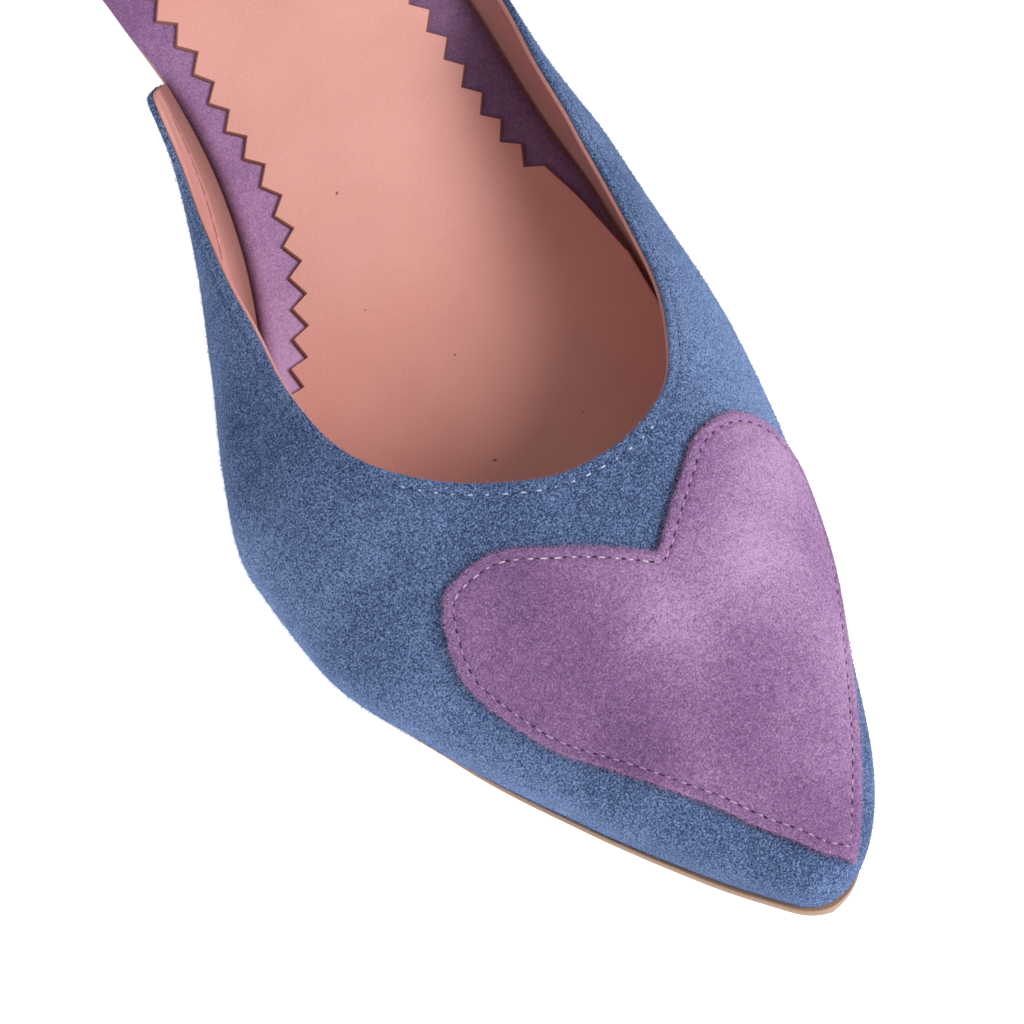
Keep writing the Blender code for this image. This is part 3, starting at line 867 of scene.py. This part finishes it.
def board_margin(along):
    """The insole board stays inside the upper and comes out flush behind the wings."""
    wall = margin_of(BOARD_MARGIN, WALL + GAP)(along)
    return -wall - margin_of(TOE_ROOM, TOE_EASE)(along)


def length_to(points):
    """The length along a line up to each of its points."""
    return np.concatenate([[0], np.cumsum(np.linalg.norm(np.diff(points, axis=0), axis=1))])


def read_at(run, values, at):
    """Values known at some lengths of a line, read at others."""
    return np.stack([np.interp(at, run, column) for column in values.T], -1)


def spaced(line, count):
    """Points at even steps of length along a line."""
    run = length_to(line)
    return read_at(run, line, np.linspace(0, run[-1], count + 1))


def plate(left, right, bottom, thick, top_round, low_round, across=24):
    """Loops round a plate, one for each pair of edge points; a rounding is how far across and how deep."""
    quarter = np.radians(np.linspace(90, 0, 8))
    loops = []
    for a, b in zip(left, right):
        width = np.linalg.norm(b - a)
        way = (b - a) / width if width > SAME_POINT else np.array([1.0, 0.0])
        top_in, low_in = min(top_round[0], width / 2), min(low_round[0], width / 2)
        edge = np.r_[top_in * (1 - np.cos(quarter)), low_in * (1 - np.cos(quarter[::-1]))]
        rounds = 1 - np.sin(quarter)
        height = np.r_[thick - top_round[1] * rounds, low_round[1] * rounds[::-1]]
        flat = np.linspace(low_in, width - low_in, across)[1:-1]
        over = np.linspace(top_in, width - top_in, across)[1:-1]
        reach = np.r_[edge, flat, width - edge[::-1], over[::-1]]
        high = np.r_[height, 0 * flat, height[::-1], 0 * over + thick]
        spots = a + reach[:, None] * way
        loops.append(np.column_stack([spots, bottom(spots[:, 1] / LENGTH) + high]))
    return np.array(loops)


def make_plate(name, sides, bottom, thick, top_round, low_round, finish, node_name):
    """A plate between two edges, on a bottom line, as a piece of the shoe."""
    points = plate(*sides, bottom, thick, top_round, low_round)
    return piece_of(name, points, grid_faces(*points.shape[:2], ring=True), finish, node_name)


PLATE_ROWS = 260
WRAP_ROUND = (0.0032, 0.0018)
WRAP_UNDER = (0.0008, 0.0008)
SOLE_ROUND = (0.0003, 0.0003)
SOLE_UNDER = (SOLE_BEVEL, 0.0012)
board_sides = [spaced(side_line(side, board_margin), PLATE_ROWS) for side in (-1, 1)]
sole_sides = [spaced(sole_side(side), PLATE_ROWS) for side in (-1, 1)]
insole = make_plate("insole_wrap", board_sides, seam_height, BOARD, WRAP_ROUND, WRAP_UNDER,
                    insole_suede, "insole")
make_plate("outsole_leather", sole_sides, underside, SOLE, SOLE_ROUND, SOLE_UNDER,
           sole_leather, "outsole")

# %% [markdown]
# The purple wrap gets painted shade in the crevice beside the lining, under the medial wing and on its
# border further back, where the border rolls down; it is lighter on the lateral side about 115 mm behind
# the toe's tip. Paint would do it on one shoe only; marks worked out from distances move with its sizes.

# %% Painted shade and a lighter band on the wrap
WRAP_CREVICE = 0.0020
WRAP_DARKEST = 0.75
MEDIAL_CREVICE = 0.4
WING_SHADE = 0.5
LIGHTER_AT = 0.115
LIGHTER_OVER = 0.018


def rise(values, start, over):
    """0 before the start, and 1 from so much further on."""
    return np.clip((values - start) / over, 0, 1)


wrap = points_of(insole)
wrap_edge = np.concatenate(board_sides)
reach = reach_of(wrap * [1, 1, 0], np.column_stack([wrap_edge, 0 * wrap_edge[:, 0]]))
medial = wrap[:, 0] > 0
# Painted shade in the crevice beside the lining, and under the medial wing.
crevice_shade = WRAP_DARKEST * (1 - rise(wrap[:, 1] / LENGTH, 0.64, 0.03))
crevice_shade = crevice_shade * np.clip(1 - reach / WRAP_CREVICE, 0, 1) ** 1.3
shade = WING_SHADE * (1 - rise(wrap[:, 1] / LENGTH, 0.66, 0.08))
mark(insole, "deep", np.where(medial, np.maximum(crevice_shade * MEDIAL_CREVICE, shade), crevice_shade))
# Lighter on the lateral side about 115 mm behind the toe's tip; painted shade on the whole border from 155 mm
# on, where it rolls down.
lighter_band = np.exp(-((wrap[:, 1] - LIGHTER_AT) / LIGHTER_OVER) ** 2) * ~medial
mark(insole, "wear_and_painted_light", lighter_band - 0.5 * rise(wrap[:, 1], 0.155, 0.02))
print("marked points on the wrap:", len(wrap))

# %% [markdown]
# The sock is the thin leather that the foot feels. Its edge is pinked, cut in small teeth, and shows a
# brown core where it was cut. Scissors follow the border of the board, so the teeth are laid along the
# same side line, two steps for each tooth, and the cut face gets a finish of its own.

# %% The sock
SOCK_LATERAL = [
    Margin(0.000, 0.00),
    Margin(0.355, 0.00),
    Margin(0.455, 0.12),
    Margin(0.510, 0.78),
    Margin(0.570, 1.00),
    Margin(0.635, 0.52),
    Margin(0.680, 0.62),
    Margin(1.000, 0.62),
]
SOCK_MEDIAL = [
    Margin(0.000, 0.00),
    Margin(0.450, 0.00),
    Margin(0.470, 0.16),
    Margin(0.490, 0.37),
    Margin(0.527, 0.75),
    Margin(0.545, 0.93),
    Margin(0.570, 1.03),
    Margin(0.620, 1.10),
    Margin(0.700, 1.00),
    Margin(1.000, 0.62),
]
PINKED_LATERAL = 0.455
PINKED_MEDIAL = 0.521
TOOTH_STEPS = 14
TOOTH_STRAIGHT = 0.9
SOCK_ACROSS = 50
CUT_BAND = (0.00012, 0.00035, 0.0006)
WORN_AT_CUT = (0.0002, 0.00006)


def sock_line(side):
    """One edge of the sock in plan, before it is pinked: its plain stretch and its pinked one."""
    border = margin_of(SOCK_LATERAL if side < 0 else SOCK_MEDIAL, SOCK_BORDER - SOCK_EASE)
    line = side_line(side, lambda along: board_margin(along) - SOCK_EASE - border(along))
    start = PINKED_LATERAL if side < 0 else PINKED_MEDIAL
    first = np.searchsorted(line[:, 1], start * LENGTH)
    return line[:first + 1], line[first:]


def sock_edge(side, total):
    """One edge of the sock in plan; its teeth are shallower round the heel, so that no flank leans back."""
    plain, pinked = sock_line(side)
    length = np.linalg.norm(np.diff(pinked, axis=0), axis=1).sum()
    teeth = round(length / TOOTH_PITCH)
    corners = spaced(pinked, 2 * teeth)
    run = np.gradient(corners, axis=0)
    out = unit(side * np.stack([run[:, 1], -run[:, 0]], -1))
    out[-1] = (0, 1)
    root = (np.arange(2 * teeth + 1) % 2)[:, None]
    most = TOOTH_STRAIGHT * TOOTH_PITCH / 2 * abs(out[:, :1]) / np.maximum(abs(out[:, 1:]), 0.01)
    corners = corners - out * np.minimum(TOOTH_DEPTH, most) * root
    count = teeth * TOOTH_STEPS
    at = np.linspace(0, 2 * teeth, count + 1)
    cut = read_at(np.arange(2 * teeth + 1), corners, at)
    return np.concatenate([spaced(plain, total - count)[:-1], cut])


def make_sock():
    """Rows across the sock between its two edges; the rows' ends are cut faces."""
    total = TOOTH_STEPS * round(LENGTH / TOOTH_PITCH)
    sides = [sock_edge(side, total) for side in (-1, 1)]
    rows = []
    for a, b in zip(*sides):
        width = max(np.linalg.norm(b - a), SAME_POINT)
        band = np.minimum(np.r_[0, CUT_BAND], width / 2)
        reach = np.r_[band[:-1], np.linspace(band[-1], width - band[-1], SOCK_ACROSS), width - band[-2::-1]]
        rows.append(a + (b - a) * (reach / width)[:, None])
    rows = np.array(rows)
    high = seam_height(rows[..., 1] / LENGTH) + BOARD
    worn_edge = np.zeros(rows.shape[1])
    worn_edge[[0, -1]], worn_edge[[1, -2]] = WORN_AT_CUT
    top = np.dstack([rows, high + SOCK - worn_edge])
    low = np.dstack([rows, high + RESTING / 2])
    points = np.concatenate([low[:, :1], top, low[:, -1:]], axis=1)
    faces = grid_faces(*points.shape[:2])
    sock = piece_of("sock_leather", points, faces, sock_leather, "sock", merge=False)
    sock.data.materials.append(cut_edge)
    columns = points.shape[1] - 1
    pinked = min(PINKED_LATERAL, PINKED_MEDIAL) * LENGTH
    for k, face in enumerate(sock.data.polygons):
        from_edge = min(k % columns, columns - 1 - k % columns)
        if from_edge < len(CUT_BAND) and face.center.y - TOE[1] > pinked:
            face.material_index = 1
            face.use_smooth = False


make_sock()

# %% [markdown]
# The leather of the sock has a few small dark nicks. A finish could hide them in its noise, but they lie
# where they lie, so each is a tiny uneven disc, given by its place behind the toe's tip and its size.

# %% Nicks in the sock
SPECK_LIFT = 0.00003
Speck = namedtuple("Speck", "across along size")
SPECKS = [
    Speck(-0.0049, 0.1392, 0.00022),
    Speck(-0.0004, 0.1106, 0.00018),
    Speck(-0.0038, 0.0927, 0.00026),
    Speck(-0.0096, 0.1227, 0.00012),
    Speck(0.0125, 0.0930, 0.00012),
]


def make_specks(sides=9):
    """Small dark nicks in the leather, each an uneven disc that lies on the sock."""
    turn = np.linspace(0, 2 * np.pi, sides, endpoint=False)
    loops = []
    for k, speck in enumerate(SPECKS):
        reach = speck.size * (1 + 0.3 * np.sin(2 * turn + k))
        middle = np.array([speck.across, speck.along])
        plan = middle + np.stack([reach * np.cos(turn), reach * np.sin(turn)], -1)
        high = seam_height(plan[:, 1] / LENGTH) + BOARD + SOCK + SPECK_LIFT
        loops.append(np.column_stack([plan, high]))
    piece_of("sock_specks", np.array(loops), np.arange(len(loops) * sides).reshape(-1, sides), cut_edge,
             merge=False)


make_specks()

# %% [markdown]
# The picture stops before the heel, so it is finished plainly: a block heel covered in the same blue
# suede, with a rubber wearing piece. The block is drawn as loops from the seat down to the floor. Each
# loop is the shoe's own back outline, drawn in a little at the waist of the heel.

# %% Heel block and wearing piece
HEEL_ROWS = 60
BREAST_STEPS = 40
HEEL_LOOPS = 50
HEEL_CLOSE = 0.00005


def heel_loop(depth):
    """The heel's outline in plan; depth is 0 at the seat and 1 at the floor."""
    sides = []
    for side in (-1, 1):
        line = side_line(side, lambda along: np.full(along.shape, -HEEL_INSET))
        first = np.searchsorted(line[:, 1], HEEL_BREAST)
        sides.append(spaced(line[first:], HEEL_ROWS))
    middle = np.array([0, (HEEL_BREAST + LENGTH) / 2])
    draw_in = 1 - HEEL_TAPER * depth - 4 * depth * (1 - depth) * HEEL_WAIST / (BALL_WIDTH / 2)
    share = np.linspace(0, 1, BREAST_STEPS + 1)[1:-1, None]
    breast = sides[1][0] * (1 - share) + sides[0][0] * share
    loop = np.concatenate([sides[0], sides[1][-2::-1], breast])
    for _ in range(2):
        loop = (np.roll(loop, 1, 0) + loop * 2 + np.roll(loop, -1, 0)) / 4
    return middle + (loop - middle) * draw_in


def make_block(name, rows, finish, node_name, cap_steps=8):
    """A block from its loops, its two ends closed by loops that shrink to a point."""
    def cap(loop, shares):
        return [loop.mean(0) + (loop - loop.mean(0)) * share for share in shares]
    shares = np.linspace(0, 1, cap_steps + 1)[:-1]
    points = np.array(cap(rows[0], shares) + rows + cap(rows[-1], shares[::-1]))
    piece_of(name, points, grid_faces(*points.shape[:2], ring=True), finish, node_name)


def make_heel():
    """Loops from the sole's underside down to the wearing piece."""
    seat = underside(heel_loop(0)[:, 1] / LENGTH) - HEEL_CLOSE
    low = TOP_PIECE + GAP / 2
    rows = []
    for depth in np.linspace(0, 1, HEEL_LOOPS):
        loop = heel_loop(depth)
        rows.append(np.column_stack([loop, seat * (1 - depth) + low * depth]))
    make_block("heel_cover", rows, blue_suede, "heel")


TREAD = [(0, 0.985), (0.0003, 0.995), (0.0008, 1.0), (TOP_PIECE - 0.0003, 1.0), (TOP_PIECE, 0.994)]


def make_top_piece():
    """The heel's lowest loop, from the floor up, its edges a little rounded."""
    loop = heel_loop(1)
    middle = loop.mean(0)
    rows = [np.column_stack([middle + (loop - middle) * shrink, np.full(len(loop), height)])
            for height, shrink in TREAD]
    make_block("heel_wearing_piece", rows, heel_rubber, "top_piece")


make_heel()
make_top_piece()

# %% [markdown]
# Two seams show: one holds the lining to the suede round the top edge, the other the heart to the toe.
# A sewing machine lays a stitch every two millimetres or so, and each one dives into its hole. A dashed
# line could be painted, but real threads catch the light, so every stitch is a short bent tube, and a
# flat dark disc of painted shade stands for the hole where it dives.

# %% Stitches
Seam = namedtuple("Seam", "finish pitch thick fill hole_long hole_wide")
HIGHLIT_SEAM = Seam(highlit_thread, 0.0025, 0.00032, 0.36, 0.00034, 0.00015)
BLUE_SEAM = Seam(blue_thread, 0.0025, 0.00028, 0.50, 0.00030, 0.00013)
PALE_SEAM = Seam(pale_thread, 0.0021, 0.00026, 0.40, 0.00040, 0.00018)
PURPLE_SEAM = Seam(purple_thread, 0.0021, 0.00028, 0.46, 0.00046, 0.00018)
UNEVEN = 0.05
HOLE_LIFT = 0.00004
TUBE_STEPS = 9
TUBE_SIDES = 6
HOLE_SIDES = 8
random = np.random.default_rng(7)


def circle(sides):
    """The cosines and sines of a round, each as a column."""
    turn = np.linspace(0, 2 * np.pi, sides, endpoint=False)[:, None]
    return np.cos(turn), np.sin(turn)


def stitches(name, line, lift, seam):
    """Bent tubes laid along a line on the form, one for each stitch, and flat dark discs of painted shade for
    the holes between them.
    """
    points = surface(line, lift)
    outward = directions(line[:, 0], line[:, 1])[2]
    run = length_to(points)
    count = int(run[-1] / seam.pitch)
    reach = np.linspace(-1, 1, TUBE_STEPS)
    arch = 1 - reach ** 4
    uneven = random.normal(0, UNEVEN, (2, count, 1))
    at = np.arange(count)[:, None] + 0.5 + uneven[0] + reach * (seam.fill / 2 + uneven[1])
    at = at * run[-1] / count
    spine, up = read_at(run, points, at), unit(read_at(run, outward, at))
    side = unit(np.cross(up, np.gradient(spine, axis=1)))
    spine = spine + up * ((arch - 1) * seam.thick * 0.7 + seam.thick * 0.25)[None, :, None]
    width = (seam.thick / 2 * (0.55 + 0.45 * arch))[None, :, None, None]
    cos, sin = circle(TUBE_SIDES)
    tubes = spine[:, :, None] + width * (side[:, :, None] * cos + 0.7 * up[:, :, None] * sin)
    each = TUBE_STEPS * TUBE_SIDES
    faces = [grid_faces(TUBE_STEPS, TUBE_SIDES, ring=True, first=k * each) for k in range(count)]
    piece_of(name, tubes, np.concatenate(faces), seam.finish, merge=False)
    # The holes are flat discs in a dark finish: painted shade where the thread dives.
    ends = np.arange(count + 1) * run[-1] / count
    middle, normal = read_at(run, points, ends), read_at(run, outward, ends)
    way = unit(np.gradient(middle, axis=0))
    over = np.cross(normal, way)
    cos, sin = circle(HOLE_SIDES)
    hole = seam.hole_long * way[:, None] * cos + seam.hole_wide * over[:, None] * sin
    discs = middle[:, None] + normal[:, None] * HOLE_LIFT + hole
    loops = np.arange(len(ends) * HOLE_SIDES).reshape(-1, HOLE_SIDES)
    piece_of(name + "_holes", discs, loops, hole_shade, merge=False)


def away_from(line, edge, distance):
    """A line without the points nearer to an edge than a distance, where it doubles back on itself."""
    reach = reach_of(form(line[:, 0], line[:, 1]), form(edge[:, 0], edge[:, 1]))
    return line[reach > distance]


# %% The seam of the top edge, its threads given a painted highlight at the throat
HIGHLIGHT_FROM = -0.33
HIGHLIGHT_TO = 0.16

edge_line = traced(TOPLINE, 900)
edge_seam = inset(edge_line, SEAM_IN)
# Painted highlight: the stitches at the throat take the lighter thread.
highlit = (edge_seam[:, 1] > HIGHLIGHT_FROM) & (edge_seam[:, 1] < HIGHLIGHT_TO)
first, last = np.flatnonzero(highlit)[[0, -1]]
stitches("edge_stitches", edge_seam[first:last + 1], -SEAM_DEPTH, HIGHLIT_SEAM)
stitches("lateral_stitches", edge_seam[:first + 1], -SEAM_DEPTH, BLUE_SEAM)
stitches("medial_stitches", edge_seam[last:], -SEAM_DEPTH, BLUE_SEAM)

# %% The heart's seam, light on the lateral lobe
PALE_BEHIND = 0.2
PALE_FROM = -0.37
PALE_TO = -0.03

heart_seam = inset(heart_edge(600), HEART_SEAM_IN, ring=True)
heart_seam = away_from(heart_seam, fine_edge, HEART_SEAM_IN * 0.93)
along, around = heart_seam.T
first, last = np.flatnonzero((along > PALE_BEHIND) & (around > PALE_FROM) & (around < PALE_TO))[[0, -1]]
sunk = GAP + HEART - HEART_SEAM_DEPTH
stitches("lobe_stitches", heart_seam[first:last + 1], sunk, PALE_SEAM)
stitches("heart_stitches", np.concatenate([heart_seam[last:], heart_seam[:first + 1]]), sunk, PURPLE_SEAM)

# %% [markdown]
# Loose fibres stand up from suede, most of all at a cut edge, and blur its outline. They could be a hair
# system. As thin blades in one mesh they need no special renderer and stay with the shoe when it is
# handed on. Each blade leans its own way, drawn from a fixed seed, so the shoe is the same every time.

# %% Loose fibres
BLADE = 0.00005
NAP_ROOT = 0.00005


def spread_places(places, count):
    """Random places on a grid, as many on each square millimetre everywhere."""
    points = surface(places, 0)
    sides = points[1:, :-1] - points[:-1, :-1], points[:-1, 1:] - points[:-1, :-1]
    area = np.linalg.norm(np.cross(*sides), axis=-1)
    chosen = random.choice(area.size, count, p=area.ravel() / area.sum())
    row, col = np.unravel_index(chosen, area.shape)
    s, t = random.random((2, count, 1))
    near = places[row, col] * (1 - t) + places[row, col + 1] * t
    far = places[row + 1, col] * (1 - t) + places[row + 1, col + 1] * t
    return near * (1 - s) + far * s


def fibres(name, places, lift, length, stand, finish):
    """Blades of two bent parts on the form; stand is how steeply they rise."""
    count = len(places)
    back, over, outward = directions(places[:, 0], places[:, 1])
    root = surface(places, lift)
    turn = random.random((count, 1)) * 2 * np.pi
    lie = unit(back) * np.cos(turn) + unit(over) * np.sin(turn)
    rise = outward * (stand * (0.4 + random.random((count, 1))))
    size = length * (0.45 + random.random((count, 1)))
    way = unit(lie + rise)
    side = unit(np.cross(way, outward + 0.3 * lie))
    middle = root + way * size * 0.5
    end = middle + (way - outward * 0.5 + 0.6 * (random.random((count, 3)) - 0.5)) * size * 0.5
    half = side * BLADE / 2
    points = np.stack([root - half, root + half, middle - half * 0.8, middle + half * 0.8, end], 1)
    first = np.arange(count)[:, None] * 5
    quads = (first + np.array([0, 1, 3, 2])).tolist()
    ends = (first + np.array([2, 3, 4])).tolist()
    piece_of(name, points, np.array(quads + ends, dtype=object), finish, merge=False)


blue_fibre = suede("blue fibre", rgb(60, 76, 114), rgb(100, 122, 164), rgb(156, 178, 214), rgb(170, 190, 230))
purple_fibre = suede(
    "purple fibre", rgb(120, 84, 126), rgb(164, 126, 168), rgb(208, 178, 210), rgb(230, 200, 230))
upper_grid = upper_places(60, 160, 9)[0]
fibres("upper_nap", spread_places(upper_grid, 56000), -NAP_ROOT, 0.0008, 1.2, blue_fibre)
shares = np.linspace(0, 1, 60)[:, None, None]
heart_grid = np.array(HEART_CENTRE) + (heart_edge(120) - HEART_CENTRE) * shares
fibres("heart_nap", spread_places(heart_grid, 18000), GAP + HEART - NAP_ROOT, 0.0006, 0.7, purple_fibre)
raw_edge = heart_edge(6000)
cut_face = GAP + HEART * random.random(len(raw_edge))
fibres("heart_fringe", raw_edge, cut_face, 0.0008, 0.3, purple_fibre)
top_edge = traced(TOPLINE, 9000)
fibres("edge_fringe", top_edge, -SUEDE * random.random(len(top_edge)), 0.0007, 0.3, blue_fibre)

# %% [markdown]
# The shoe stands on a plain white floor under one large soft light from beyond the toe, on the medial
# side, with a pale room around it that fills the shadows. The wings then shade the sock as they should.
# The paper glows a little, as under a light box, and the plain Standard transform keeps it pure white.

# %% Floor and light
FLOOR = 3
GLOW = 0.8
ROOM = 0.42
floor_mesh = bpy.data.meshes.new("floor")
corners = [(-FLOOR, -FLOOR, 0), (FLOOR, -FLOOR, 0), (FLOOR, FLOOR, 0), (-FLOOR, FLOOR, 0)]
floor_mesh.from_pydata(corners, [], [(0, 1, 2, 3)])
floor = bpy.data.objects.new("floor", floor_mesh)
bpy.context.scene.collection.objects.link(floor)
paper, paper_tree, paper_shader, paper_place = new_finish("white paper")
paper_tone = noise(paper_tree, paper_place, 0.05, 2)
paper_tree.links.new(ramp(paper_tree, paper_tone, [(0.3, rgb(250, 250, 250)), (0.7, rgb(254, 254, 254))]),
                     paper_shader.inputs["Base Color"])
paper_shader.inputs["Roughness"].default_value = 0.9
paper_shader.inputs["Emission Color"].default_value = (1, 1, 1, 1)
paper_shader.inputs["Emission Strength"].default_value = GLOW
floor_mesh.materials.append(paper)


def soft_light(name, place, aim, size, power):
    """A square light that shines from a place towards a point of the shoe."""
    data = bpy.data.lights.new(name, "AREA")
    data.size = size
    data.energy = power
    light = bpy.data.objects.new(name, data)
    light.location = place
    way = Vector(aim) - Vector(place)
    light.rotation_mode = "QUATERNION"
    light.rotation_quaternion = way.to_track_quat("-Z", "Y")
    bpy.context.scene.collection.objects.link(light)
    print(f"{name}: {power} W over {size} m")


soft_light("window", place=(0.46, -0.76, 0.76), aim=(0, -0.03, 0.02), size=0.55, power=11.2)
soft_light("fill", place=(-0.9, -0.2, 0.45), aim=(0, -0.05, 0.02), size=0.8, power=2.4)
world = bpy.data.worlds.new("pale room")
world.use_nodes = True
world.node_tree.nodes["Background"].inputs["Color"].default_value = (1, 1, 1, 1)
world.node_tree.nodes["Background"].inputs["Strength"].default_value = ROOM
bpy.context.scene.world = world
bpy.context.scene.view_settings.view_transform = "Standard"
